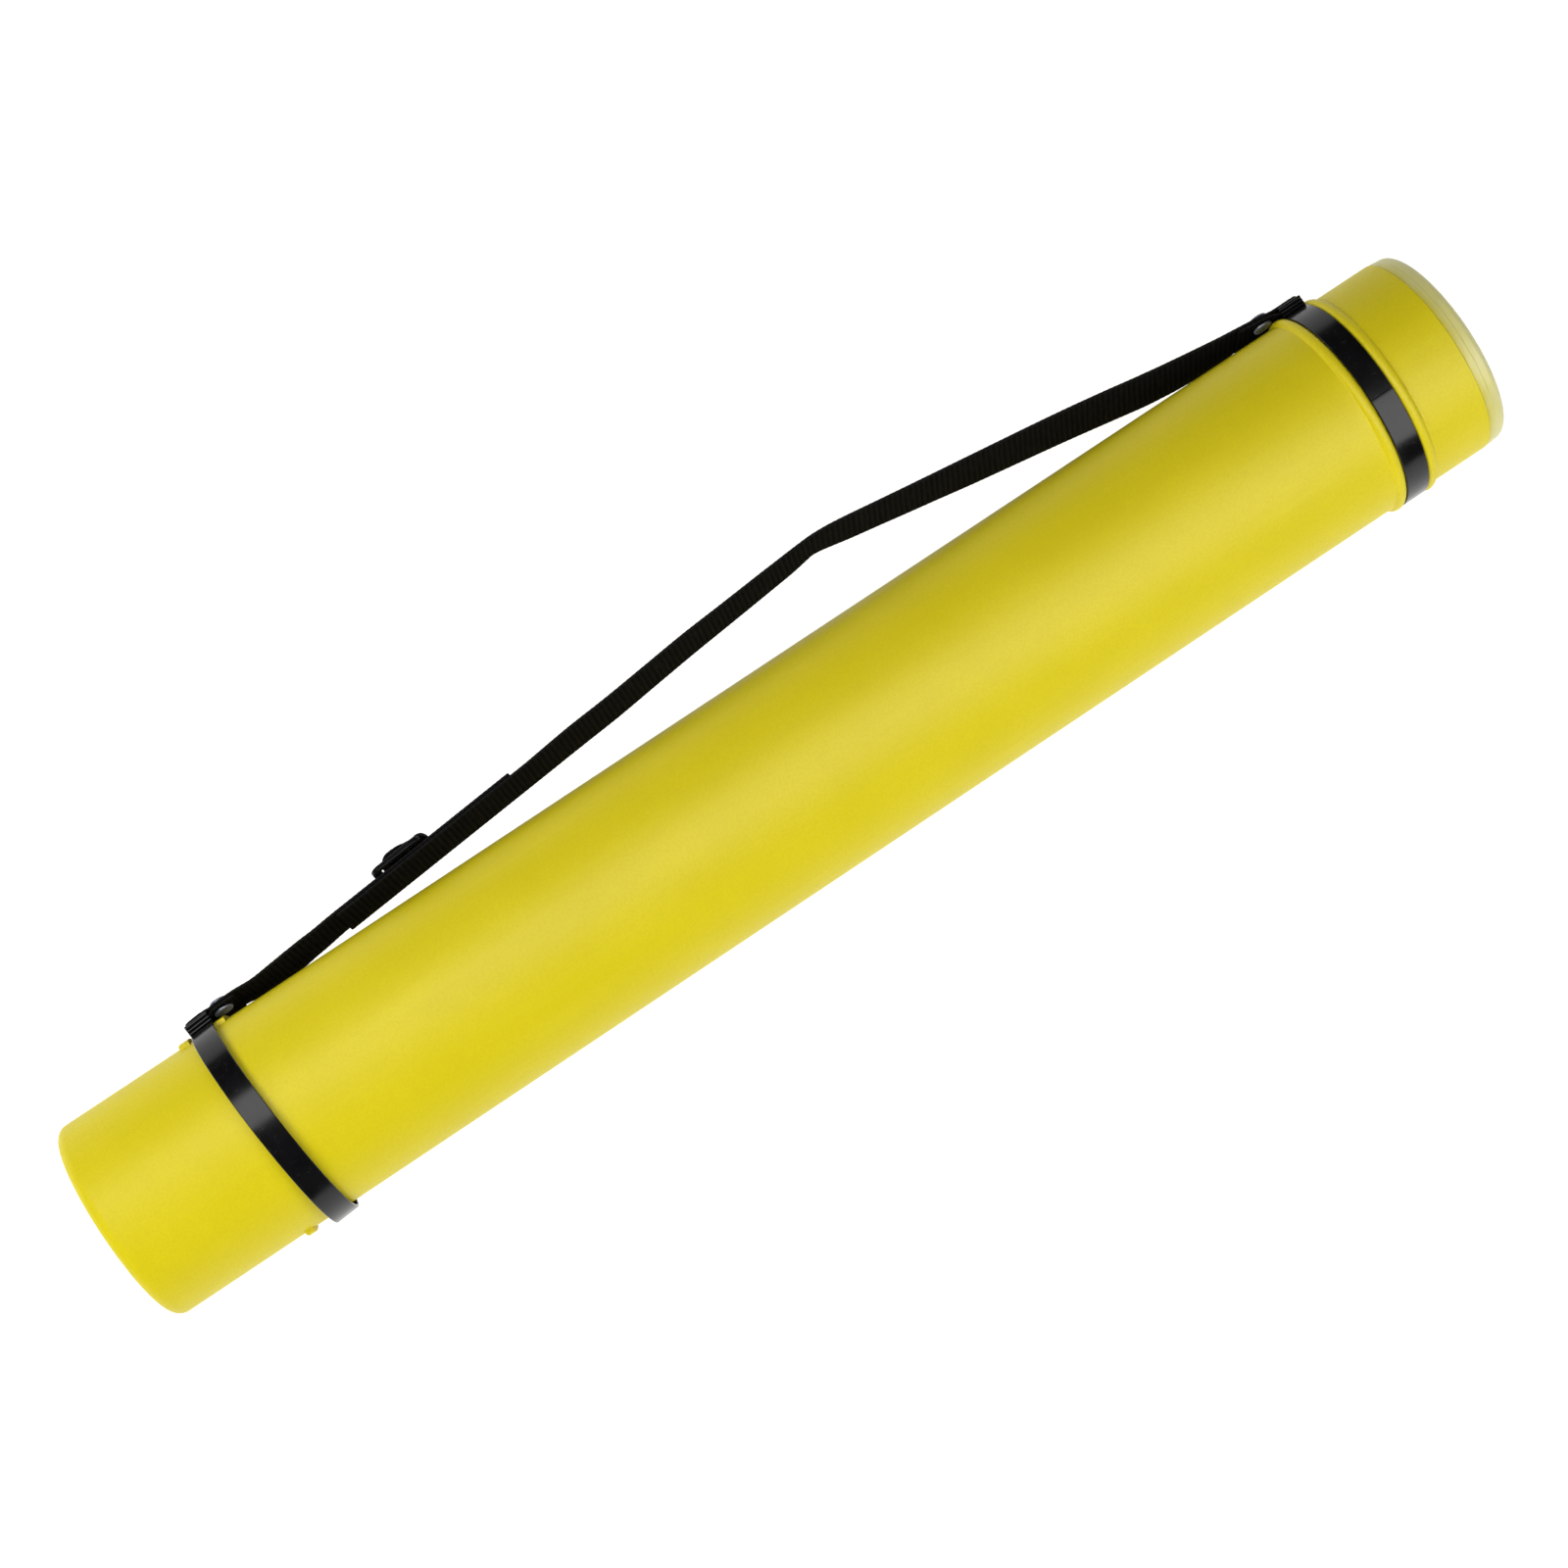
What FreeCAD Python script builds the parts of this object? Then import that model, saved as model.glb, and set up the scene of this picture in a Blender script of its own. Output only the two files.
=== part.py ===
# Drawing tube with a plug cap and an adjustable carrying strap.
# Millimetres. X runs along the tube from the closed base to the cap, the strap is on the +Y side, Z is up.
# The origin is the centre of the base's outer face.
import FreeCAD, Part
import math
import os
from FreeCAD import Placement, Rotation, Vector

# Tube
TUBE_RADIUS = 45.0
WALL = 1.4
TUBE_LENGTH = 644.5
BASE_ROUNDING = 5.0
MOUTH_CHAMFER = 0.4

# The beads run all round on both sides of the upper band. The lugs stand in pairs beside the lower band,
# on the strap's side and opposite it.
BEAD_PLACES = (599.6, 615.0)
BEAD_HALF_WIDTH = 2.3
BEAD_HEIGHT = 1.8
BEAD_FILLET = 0.5
BEAD_HOLLOW_HALF_WIDTH = 1.5
BEAD_HOLLOW_HEIGHT = 1.5
LUG_HALF_SPAN = 9.0
LUG_HEIGHT = 1.8
LUG_ROOT = 0.7
LUG_ROUNDING = 0.4
# Place along the tube, half of the width, and side: 1 is the strap's.
LUGS = ((62.7, 2.3, 1), (79.5, 2.5, 1), (63.6, 1.8, -1), (79.5, 1.8, -1))

# Plug cap
CAP_RIM_RADIUS = 44.7
CAP_RIM_LENGTH = 8.5
CAP_RIM_ROUNDING = 3.0
CAP_STEP = 0.3
CAP_STEP_SHARE = 0.35
CAP_SKIRT_RADIUS = 43.1
CAP_SKIRT_LENGTH = 22.5
CAP_WALL = 1.3
CAP_DISH_RADIUS = 37.0
CAP_DISH_DEPTH = 1.5
CAP_RIB_RADIUS = 43.53
CAP_RIB_DEPTHS = (5.5, 11.0, 16.5)
CAP_RIB_HALF_WIDTH = 0.9

# Bands and their clips
BAND_WIDTH = 10.6
BAND_THICKNESS = 1.1
BAND_CHAMFER = 0.25
LOWER_BAND_INNER_RADIUS = 47.1
UPPER_BAND_INNER_RADIUS = 45.3
LOWER_BAND_PLACE = (75.5, -0.3, 0.15)
UPPER_BAND_PLACE = (607.3, 0.0, 0.0)
LOWER_BAND_TILT = 4.35
LOWER_BAND_SKEW = 2.1
ANCHOR_ANGLE = 8.0
CLIP_HALF_SPAN = 15.2
CLIP_WALL = 2.1
CLIP_SLOT = 1.5
CLIP_BAR = 0.9
CLIP_BAR_WIDTH = 7.4
CLIP_BAR_INSET = 1.8
CLIP_FOOT_SHARE = 0.8
CLIP_WALL_FOOT_SHARE = 0.9
CLIP_HEADROOM = 9.0
CLIP_RIDGES = 3
CLIP_RIDGE_RADIUS = 0.8
CLIP_RIDGE_PITCH = 1.55
WELD_ANGLE = 102.0
WELD_RADIUS = 0.65
WELD_HEIGHT = 0.3
WELD_INSET = 0.2

# Webbing
WEB_WIDTH = 25.0
WEB_THICKNESS = 1.3
LAYER_PITCH = 1.4
SEWN_PITCH = 1.35
SLACK = 0.1
FOLD_STEPS = 8
FOLD_TOP_END = 4.2
LOWER_FOLD_FOOT = 5.7
UPPER_FOLD_FOOT = 5.4
STRAP_Z = -6.9

# Rivets
RIVET_HEAD_RADIUS = 4.2
RIVET_HEAD_HEIGHT = 1.0
RIVET_DOME = 0.7
RIVET_SHANK_RADIUS = 1.6
RIVET_HOLE_RADIUS = 1.7
RIVET_OFFSET = 6.0
RIVET_GAP = 0.4

# Slider, and the straight stretch of the strap that it travels on. The stretch is given by the middle of
# the inner webbing.
SLIDER_LENGTH = 24.8
SLIDER_WIDTH = 32.0
SLIDER_THICKNESS = 2.3
SLIDER_CORNER = 4.0
SLIDER_END_BAR = 4.0
SLIDER_SLOT_LENGTH = 6.2
SLIDER_SLOT_WIDTH = 26.4
SLIDER_ROUNDING = 0.6
SLIDER_PLACE = 175.8
SLIDER_CLEARANCE = 0.2
STRAIGHT_START = (128.0, 50.4)
STRAIGHT_END = (240.0, 60.75)
STRAIGHT_TWIST = 17.5
LOWER_WEBBING_END = 232.0
UPPER_WEBBING_END = 142.0
DOUBLED_START = 140.0

# Where the two layers of each fold are riveted together, in the band's own frame: place along the band's
# axis, height of the stack's middle, twist. The second entry is the rivet's.
LOWER_STACK = ((8.0, 49.45, 5.0), (11.0, 49.2, 6.0), (18.2, 48.65, 7.0))
UPPER_STACK = ((-8.0, 48.6, 2.0), (-12.5, 48.75, 4.5), (-24.0, 49.3, 7.5))

# The single webbing between the fold and the straight stretch, and from there to the other fold: place
# along the tube, distance from the tube's axis, twist.
LOWER_RUN = (
    (99.0, 49.0, 17.0),
    (108.0, 49.45, 18.8),
    (116.0, 50.05, 20.2),
    (124.0, 51.0, 19.2),
    (130.0, 51.55, 18.4),
)
UPPER_RUN = (
    (262.0, 63.1, 19.0),
    (282.0, 64.85, 18.8),
    (302.0, 67.1, 18.3),
    (322.0, 69.35, 18.0),
    (342.0, 71.15, 16.9),
    (362.0, 73.0, 16.0),
    (376.0, 74.3, 15.0),
    (383.0, 75.1, 13.5),
    (387.0, 75.5, 12.5),
    (391.0, 75.35, 13.2),
    (396.0, 74.8, 14.8),
    (404.0, 73.6, 16.5),
    (419.0, 71.35, 17.6),
    (431.0, 69.55, 18.7),
    (444.0, 67.65, 19.8),
    (460.0, 65.3, 21.6),
    (484.0, 61.95, 23.2),
    (497.0, 60.1, 23.9),
    (509.0, 58.3, 24.5),
    (525.0, 55.7, 25.1),
    (540.0, 53.2, 25.2),
    (554.0, 51.4, 23.8),
    (566.0, 50.3, 21.2),
    (576.0, 49.55, 18.7),
)

X_AXIS = Vector(1, 0, 0)
Y_AXIS = Vector(0, 1, 0)
Z_AXIS = Vector(0, 0, 1)
ORIGIN = Vector(0, 0, 0)


def point(x, y, z=0.0):
    return Vector(x, y, z)


def line(start, end):
    return Part.makeLine(start, end)


def arc(start, middle, end):
    return Part.Arc(start, middle, end).toShape()


def turned(edges):
    """Solid of revolution about the tube's axis of a closed outline in the XY plane."""
    face = Part.Face(Part.Wire(edges))
    return face.revolve(ORIGIN, X_AXIS, 360.0)


def polygon_edges(points):
    """Straight edges joining the points in order."""
    return [line(a, b) for a, b in zip(points, points[1:])]


def box(low, high):
    size = [b - a for a, b in zip(low, high)]
    return Part.makeBox(size[0], size[1], size[2], Vector(*low))


def cylinder(radius, start, length, direction=X_AXIS):
    return Part.makeCylinder(radius, length, start, direction)


# Tube and cap


def corner_arc(centre_x, centre_y, radius, first_angle, last_angle):
    """Arc in the XY plane about a centre, angles in degrees."""
    middle_angle = (first_angle + last_angle) / 2
    on_arc = []
    for angle in (first_angle, middle_angle, last_angle):
        turn = math.radians(angle)
        on_arc.append(point(centre_x + radius * math.cos(turn), centre_y + radius * math.sin(turn)))
    return arc(*on_arc)


def tube_wall_outline(radius, start_x, end_x, half_width, height):
    """Outline along the tube's wall, with a round bulge at each bead."""
    edges = []
    here = point(start_x, radius)
    for place in BEAD_PLACES:
        foot = point(place - half_width, radius)
        far_foot = point(place + half_width, radius)
        edges.append(line(here, foot))
        edges.append(arc(foot, point(place, radius + height), far_foot))
        here = far_foot
    edges.append(line(here, point(end_x, radius)))
    return edges


def lug(place, half_width, side):
    """Short raised block on the tube's surface, on the +Y side with side 1 and opposite it with side -1."""
    start = point(place - half_width, 0)
    crest = TUBE_RADIUS + LUG_HEIGHT
    ring = cylinder(crest, start, 2 * half_width)
    ring = ring.cut(cylinder(TUBE_RADIUS - LUG_ROOT, start, 2 * half_width))
    sides = sorted((0, side * (crest + 1)))
    block = box((start.x, sides[0], -LUG_HALF_SPAN), (place + half_width, sides[1], LUG_HALF_SPAN))
    solid = ring.common(block)
    rim = [edge for edge in solid.Edges if min(axis_distance(v.Point) for v in edge.Vertexes) > crest - 0.01]
    return solid.makeFillet(LUG_ROUNDING, rim)


def axis_distance(place):
    return math.hypot(place.y, place.z)


def tube_body():
    bore = TUBE_RADIUS - WALL
    inner_rounding = BASE_ROUNDING - WALL
    mouth = TUBE_LENGTH
    edges = [line(point(0, 0), point(0, TUBE_RADIUS - BASE_ROUNDING))]
    edges.append(corner_arc(BASE_ROUNDING, TUBE_RADIUS - BASE_ROUNDING, BASE_ROUNDING, 180, 90))
    lip = mouth - MOUTH_CHAMFER
    edges += tube_wall_outline(TUBE_RADIUS, BASE_ROUNDING, lip, BEAD_HALF_WIDTH, BEAD_HEIGHT)
    edges += polygon_edges([
        point(lip, TUBE_RADIUS),
        point(mouth, TUBE_RADIUS - MOUTH_CHAMFER),
        point(mouth, bore),
    ])
    inner = tube_wall_outline(bore, BASE_ROUNDING, mouth, BEAD_HOLLOW_HALF_WIDTH, BEAD_HOLLOW_HEIGHT)
    edges += inner[::-1]
    edges.append(corner_arc(BASE_ROUNDING, TUBE_RADIUS - BASE_ROUNDING, inner_rounding, 90, 180))
    edges.append(line(point(WALL, TUBE_RADIUS - BASE_ROUNDING), point(WALL, 0)))
    edges.append(line(point(WALL, 0), point(0, 0)))
    solid = turned(Part.__sortEdges__(edges))
    solid = solid.makeFillet(BEAD_FILLET, bead_edges(solid))
    return solid.fuse([lug(*measures) for measures in LUGS])


def bead_edges(solid):
    """The circles at the feet of the beads."""
    corners = [place + side * BEAD_HALF_WIDTH for place in BEAD_PLACES for side in (-1, 1)]
    found = []
    for edge in solid.Edges:
        curve = edge.Curve
        if not isinstance(curve, Part.Circle) or abs(curve.Radius - TUBE_RADIUS) > 1e-3:
            continue
        if min(abs(curve.Center.x - x) for x in corners) < 1e-3:
            found.append(edge)
    return found


def end_cap():
    seat = TUBE_LENGTH
    end = seat + CAP_RIM_LENGTH
    skirt_end = seat - CAP_SKIRT_LENGTH
    hollow = CAP_SKIRT_RADIUS - CAP_WALL
    step_x = seat + CAP_RIM_LENGTH * CAP_STEP_SHARE
    rim = CAP_RIM_RADIUS - CAP_STEP
    dish_floor = end - CAP_DISH_DEPTH
    edges = polygon_edges([
        point(seat, CAP_SKIRT_RADIUS),
        point(seat, CAP_RIM_RADIUS),
        point(step_x, CAP_RIM_RADIUS),
        point(step_x + CAP_STEP, rim),
        point(end - CAP_RIM_ROUNDING, rim),
    ])
    edges.append(corner_arc(end - CAP_RIM_ROUNDING, rim - CAP_RIM_ROUNDING, CAP_RIM_ROUNDING, 90, 0))
    edges += polygon_edges([
        point(end, rim - CAP_RIM_ROUNDING),
        point(end, CAP_DISH_RADIUS + CAP_DISH_DEPTH),
        point(dish_floor, CAP_DISH_RADIUS),
        point(dish_floor, 0),
        point(dish_floor - CAP_WALL, 0),
        point(dish_floor - CAP_WALL, hollow - CAP_WALL),
        point(dish_floor - 2 * CAP_WALL, hollow),
        point(skirt_end, hollow),
        point(skirt_end, CAP_SKIRT_RADIUS - CAP_WALL / 2),
        point(skirt_end + CAP_WALL, CAP_SKIRT_RADIUS),
    ])
    here = point(skirt_end + CAP_WALL, CAP_SKIRT_RADIUS)
    for depth in sorted(CAP_RIB_DEPTHS, reverse=True):
        rib = seat - depth
        foot = point(rib - CAP_RIB_HALF_WIDTH, CAP_SKIRT_RADIUS)
        far_foot = point(rib + CAP_RIB_HALF_WIDTH, CAP_SKIRT_RADIUS)
        edges.append(line(here, foot))
        edges.append(arc(foot, point(rib, CAP_RIB_RADIUS), far_foot))
        here = far_foot
    edges.append(line(here, point(seat, CAP_SKIRT_RADIUS)))
    return turned(edges)


# Bands and clips. They are drawn in the band's own frame: X along the band's axis, Y outwards at the
# clip, Z across the clip. A clip's outer side, where the webbing folds, is at +X times its side.


def band_frame(place, tilt, skew):
    """Placement of a band's own frame in the tube's frame."""
    lean = Rotation(Y_AXIS, skew).multiply(Rotation(Z_AXIS, tilt))
    return Placement(Vector(*place), lean.multiply(Rotation(X_AXIS, -ANCHOR_ANGLE)))


LOWER_FRAME = band_frame(LOWER_BAND_PLACE, LOWER_BAND_TILT, LOWER_BAND_SKEW)
UPPER_FRAME = band_frame(UPPER_BAND_PLACE, 0.0, 0.0)


def band_ring(inner_radius):
    """Whole ring of flat strip with slightly broken outer edges."""
    half = BAND_WIDTH / 2
    outer = inner_radius + BAND_THICKNESS
    outline = [
        point(-half, inner_radius),
        point(-half, outer - BAND_CHAMFER),
        point(-half + BAND_CHAMFER, outer),
        point(half - BAND_CHAMFER, outer),
        point(half, outer - BAND_CHAMFER),
        point(half, inner_radius),
        point(-half, inner_radius),
    ]
    return turned(polygon_edges(outline))


def clip_zone(inner_radius):
    """The space of a band that its clip takes up."""
    foot = inner_radius * CLIP_FOOT_SHARE
    top = inner_radius + CLIP_HEADROOM
    return box((-BAND_WIDTH, foot, -CLIP_HALF_SPAN), (BAND_WIDTH, top, CLIP_HALF_SPAN))


def weld(inner_radius):
    """Low ridge across a band where the strip's ends are welded together."""
    turn = math.radians(WELD_ANGLE)
    reach = inner_radius + BAND_THICKNESS + WELD_HEIGHT - WELD_RADIUS
    start = point(WELD_INSET - BAND_WIDTH / 2, reach * math.cos(turn), reach * math.sin(turn))
    return cylinder(WELD_RADIUS, start, BAND_WIDTH - 2 * WELD_INSET)


def band(inner_radius, frame, is_welded):
    """The band's strip outside its clip. The clip's saddle closes the ring."""
    strip = band_ring(inner_radius).cut(clip_zone(inner_radius))
    if is_welded:
        strip = strip.fuse(weld(inner_radius))
    strip.Placement = frame.multiply(strip.Placement)
    return strip


def clip(inner_radius, side, frame):
    """Saddle on the band's curve, two side walls and the bar that the webbing folds round."""
    half = BAND_WIDTH / 2
    outer = inner_radius + BAND_THICKNESS
    bar_low = outer + CLIP_SLOT
    bar_high = bar_low + CLIP_BAR
    body = band_ring(inner_radius).common(clip_zone(inner_radius))
    wall_inside = CLIP_HALF_SPAN - CLIP_WALL
    wall_outside = CLIP_HALF_SPAN - CLIP_RIDGE_RADIUS
    for hand in (-1, 1):
        faces = sorted((hand * wall_inside, hand * wall_outside))
        foot = inner_radius * CLIP_WALL_FOOT_SHARE
        body = body.fuse(box((-half, foot, faces[0]), (half, bar_high, faces[1])))
        for ridge in range(CLIP_RIDGES):
            level = bar_high - CLIP_RIDGE_RADIUS - CLIP_RIDGE_PITCH * ridge
            start = point(-half, level, hand * wall_outside)
            body = body.fuse(cylinder(CLIP_RIDGE_RADIUS, start, BAND_WIDTH))
    bar_outer = half - CLIP_BAR_INSET
    bar_ends = sorted((side * bar_outer, side * (bar_outer - CLIP_BAR_WIDTH)))
    bar = box((bar_ends[0], bar_low, -wall_inside), (bar_ends[1], bar_high, wall_inside))
    body = body.fuse(bar)
    hollow = cylinder(inner_radius, point(-BAND_WIDTH, 0), 2 * BAND_WIDTH)
    body = body.cut(hollow).removeSplitter()
    body.Placement = frame.multiply(body.Placement)
    return body


# Webbing. A station is the middle of the webbing's section and its width direction. The twist is the
# angle between the width and Z, positive when the upper edge leans away from the tube.


def width_direction(twist):
    turn = math.radians(twist)
    return Vector(0, math.sin(turn), math.cos(turn))


def free_station(x, y, twist):
    return point(x, y, STRAP_Z), width_direction(twist)


def layer_station(frame, x, middle, offset=0.0, twist=0.0):
    """Station in a band's own frame, offset outwards from the middle of its stack."""
    turn = math.radians(twist)
    centre = point(x, middle) + Vector(0, math.cos(turn), -math.sin(turn)) * offset
    return frame.multVec(centre), frame.Rotation.multVec(width_direction(twist))


def stack_stations(frame, stack, side):
    """One layer of a riveted stack: the inner one with side -1 and the outer one with side 1."""
    return [layer_station(frame, x, middle, side * SEWN_PITCH / 2, twist) for x, middle, twist in stack]


def fold_heights(inner_radius):
    """Middles of the webbing under the clip's bar and over it."""
    outer = inner_radius + BAND_THICKNESS
    return outer + CLIP_SLOT / 2, outer + CLIP_SLOT + CLIP_BAR + SLACK + WEB_THICKNESS / 2


def fold_stations(frame, inner_radius, side):
    """Half turn round the clip's bar, from the layer under the bar to the layer over it."""
    under, over = fold_heights(inner_radius)
    radius = (over - under) / 2
    centre_x = BAND_WIDTH / 2 - radius - WEB_THICKNESS / 2
    stations = []
    for step in range(FOLD_STEPS + 1):
        turn = math.pi * step / FOLD_STEPS
        x = side * (centre_x + radius * math.sin(turn))
        stations.append(layer_station(frame, x, (under + over) / 2 - radius * math.cos(turn)))
    return stations


def webbing(stations, hole):
    """Flat strip swept through the stations, with the rivet's hole cut through both its layers."""
    sections = []
    for index, (centre, width) in enumerate(stations):
        before = stations[max(index - 1, 0)][0]
        after = stations[min(index + 1, len(stations) - 1)][0]
        along = (after - before).normalize()
        half_width = (width - along * width.dot(along)).normalize() * (WEB_WIDTH / 2)
        half_depth = along.cross(half_width).normalize() * (WEB_THICKNESS / 2)
        corners = [
            centre + half_width + half_depth,
            centre - half_width + half_depth,
            centre - half_width - half_depth,
            centre + half_width - half_depth,
        ]
        sections.append(Part.makePolygon(corners + corners[:1]))
    return Part.makeLoft(sections, True, True).cut(hole)


def straight_height(x):
    """Distance from the tube's axis of the inner webbing's middle along the slider's stretch."""
    slope = (STRAIGHT_END[1] - STRAIGHT_START[1]) / (STRAIGHT_END[0] - STRAIGHT_START[0])
    return STRAIGHT_START[1] + slope * (x - STRAIGHT_START[0])


def straight_station(x, layers_up=0):
    """Station on the slider's stretch, on the inner webbing or that many layers outside it."""
    centre, width = free_station(x, straight_height(x), STRAIGHT_TWIST)
    return centre + slider_frame().Rotation.multVec(Y_AXIS) * (LAYER_PITCH * layers_up), width


def lower_webbing_stations():
    """From the inner layer's end, round the lower clip's bar and along the strap to the tail's end."""
    under, over = fold_heights(LOWER_BAND_INNER_RADIUS)
    stations = stack_stations(LOWER_FRAME, LOWER_STACK[::-1], -1)
    stations.append(layer_station(LOWER_FRAME, LOWER_FOLD_FOOT, under))
    stations += fold_stations(LOWER_FRAME, LOWER_BAND_INNER_RADIUS, -1)
    stations.append(layer_station(LOWER_FRAME, FOLD_TOP_END, over))
    stations += stack_stations(LOWER_FRAME, LOWER_STACK, 1)
    stations += [free_station(x, y, twist) for x, y, twist in LOWER_RUN]
    stations += [straight_station(x, 1) for x in (DOUBLED_START, LOWER_WEBBING_END)]
    return stations


def upper_webbing_stations():
    """From the end beside the slider, along the strap and round the upper clip's bar."""
    under, over = fold_heights(UPPER_BAND_INNER_RADIUS)
    stations = [straight_station(UPPER_WEBBING_END), straight_station(STRAIGHT_END[0])]
    stations += [free_station(x, y, twist) for x, y, twist in UPPER_RUN]
    stations += stack_stations(UPPER_FRAME, UPPER_STACK[::-1], 1)
    stations.append(layer_station(UPPER_FRAME, -FOLD_TOP_END, over))
    stations += fold_stations(UPPER_FRAME, UPPER_BAND_INNER_RADIUS, 1)[::-1]
    stations.append(layer_station(UPPER_FRAME, -UPPER_FOLD_FOOT, under))
    stations += stack_stations(UPPER_FRAME, UPPER_STACK, -1)
    return stations


# Rivets. The flange and shank come from the tube's side, and the cap closes them on the outside.


def rivet_frame(frame, stack):
    """Placement of a rivet: origin in the middle of the stack, Y outwards along the shank."""
    before, place, after = stack
    lean = math.degrees(math.atan((after[1] - before[1]) / (after[0] - before[0])))
    turn = Rotation(Z_AXIS, lean).multiply(Rotation(X_AXIS, -place[2]))
    centre = point(place[0], place[1]) + width_direction(place[2]) * RIVET_OFFSET
    return frame.multiply(Placement(centre, turn))


def rivet_head():
    """Low round head standing on the XZ plane towards +Y, with a rounded rim."""
    head = cylinder(RIVET_HEAD_RADIUS, ORIGIN, RIVET_HEAD_HEIGHT, Y_AXIS)
    rim = [edge for edge in head.Edges if isinstance(edge.Curve, Part.Circle) and edge.Curve.Center.y > 0.1]
    return head.makeFillet(RIVET_DOME, rim)


CLAMPED = (SEWN_PITCH + WEB_THICKNESS) / 2 + RIVET_GAP


def rivet_cap(frame):
    head = rivet_head()
    head.translate(point(0, CLAMPED))
    head.Placement = frame.multiply(head.Placement)
    return head


def rivet_post(frame):
    head = rivet_head()
    head.rotate(ORIGIN, X_AXIS, 180.0)
    shank = cylinder(RIVET_SHANK_RADIUS, ORIGIN, 2 * CLAMPED, Y_AXIS)
    post = head.fuse(shank).removeSplitter()
    post.translate(point(0, -CLAMPED))
    post.Placement = frame.multiply(post.Placement)
    return post


def rivet_hole(frame):
    hole = cylinder(RIVET_HOLE_RADIUS, point(0, -2 * CLAMPED), 4 * CLAMPED, Y_AXIS)
    hole.Placement = frame.multiply(hole.Placement)
    return hole


# Slider and the webbing humped over its middle bar. They are drawn flat: X along the strap, Y away from
# the tube from the webbing's outer face, Z across the strap.


def slider_frame():
    """Placement of the slider's own frame in the tube's frame."""
    run = Vector(STRAIGHT_END[0] - STRAIGHT_START[0], STRAIGHT_END[1] - STRAIGHT_START[1], 0).normalize()
    width = width_direction(STRAIGHT_TWIST)
    across = (width - run * width.dot(run)).normalize()
    outward = across.cross(run)
    turn = Rotation(run, outward, across, "ZXY")
    middle = point(SLIDER_PLACE, straight_height(SLIDER_PLACE), STRAP_Z)
    return Placement(middle + outward * (LAYER_PITCH + WEB_THICKNESS / 2 + SLIDER_CLEARANCE), turn)


def slider():
    half_length = SLIDER_LENGTH / 2
    half_width = SLIDER_WIDTH / 2
    frame = box((-half_length, 0, -half_width), (half_length, SLIDER_THICKNESS, half_width))
    upright = [edge for edge in frame.Edges if abs(edge.tangentAt(0).y) > 0.99]
    frame = frame.makeFillet(SLIDER_CORNER, upright)
    for side in (-1, 1):
        inner_x = half_length - SLIDER_END_BAR - SLIDER_SLOT_LENGTH
        ends = sorted((side * inner_x, side * (inner_x + SLIDER_SLOT_LENGTH)))
        slot_low = (ends[0], -1, -SLIDER_SLOT_WIDTH / 2)
        slot_high = (ends[1], SLIDER_THICKNESS + 1, SLIDER_SLOT_WIDTH / 2)
        frame = frame.cut(box(slot_low, slot_high))
    rims = []
    for edge in frame.Edges:
        middle = edge.valueAt((edge.FirstParameter + edge.LastParameter) / 2)
        if middle.y > SLIDER_THICKNESS - 0.01 or middle.y < 0.01:
            rims.append(edge)
    frame = frame.makeFillet(SLIDER_ROUNDING, rims)
    frame.Placement = slider_frame()
    return frame


BAR_TOP = SLIDER_THICKNESS + SLACK + WEB_THICKNESS / 2
INNER_HUMP = ((-5.4, 0.1), (-4.9, 1.4), (-2.9, BAR_TOP), (2.9, BAR_TOP), (4.9, 1.4), (5.4, 0.1))
OUTER_HUMP = (
    (-7.3, 0.1),
    (-6.6, 1.8),
    (-3.9, BAR_TOP + LAYER_PITCH),
    (2.8, BAR_TOP + LAYER_PITCH),
    (5.5, BAR_TOP + 0.6),
    (8.5, BAR_TOP + 0.1),
    (12.4, BAR_TOP),
    (13.9, 1.9),
    (14.7, 0.2),
)


def hump_layer(path):
    """One layer of webbing along a path in the slider's own frame."""
    points = [point(x, y) for x, y in path]
    upper = []
    lower = []
    for index, here in enumerate(points):
        before = points[max(index - 1, 0)]
        after = points[min(index + 1, len(points) - 1)]
        along = (after - before).normalize()
        half_depth = Vector(-along.y, along.x, 0) * (WEB_THICKNESS / 2)
        upper.append(here + half_depth)
        lower.append(here - half_depth)
    outline = upper + lower[::-1]
    face = Part.Face(Part.makePolygon(outline + outline[:1]))
    layer = face.extrude(Vector(0, 0, WEB_WIDTH))
    layer.translate(Vector(0, 0, -WEB_WIDTH / 2))
    return layer


def webbing_bight():
    """Both webbings' humps: one over the middle bar, and one over that and the end bar."""
    group = Part.makeCompound([hump_layer(INNER_HUMP), hump_layer(OUTER_HUMP)])
    group.Placement = slider_frame()
    return group


def build():
    rivets = (rivet_frame(LOWER_FRAME, LOWER_STACK), rivet_frame(UPPER_FRAME, UPPER_STACK))
    return {
        "tube_body": tube_body(),
        "end_cap": end_cap(),
        "lower_band": band(LOWER_BAND_INNER_RADIUS, LOWER_FRAME, False),
        "upper_band": band(UPPER_BAND_INNER_RADIUS, UPPER_FRAME, True),
        "lower_clip": clip(LOWER_BAND_INNER_RADIUS, -1, LOWER_FRAME),
        "upper_clip": clip(UPPER_BAND_INNER_RADIUS, 1, UPPER_FRAME),
        "lower_webbing": webbing(lower_webbing_stations(), rivet_hole(rivets[0])),
        "upper_webbing": webbing(upper_webbing_stations(), rivet_hole(rivets[1])),
        "rivet_caps": Part.makeCompound([rivet_cap(frame) for frame in rivets]),
        "rivet_posts": Part.makeCompound([rivet_post(frame) for frame in rivets]),
        "slider": slider(),
        "webbing_bight": webbing_bight(),
    }


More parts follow.
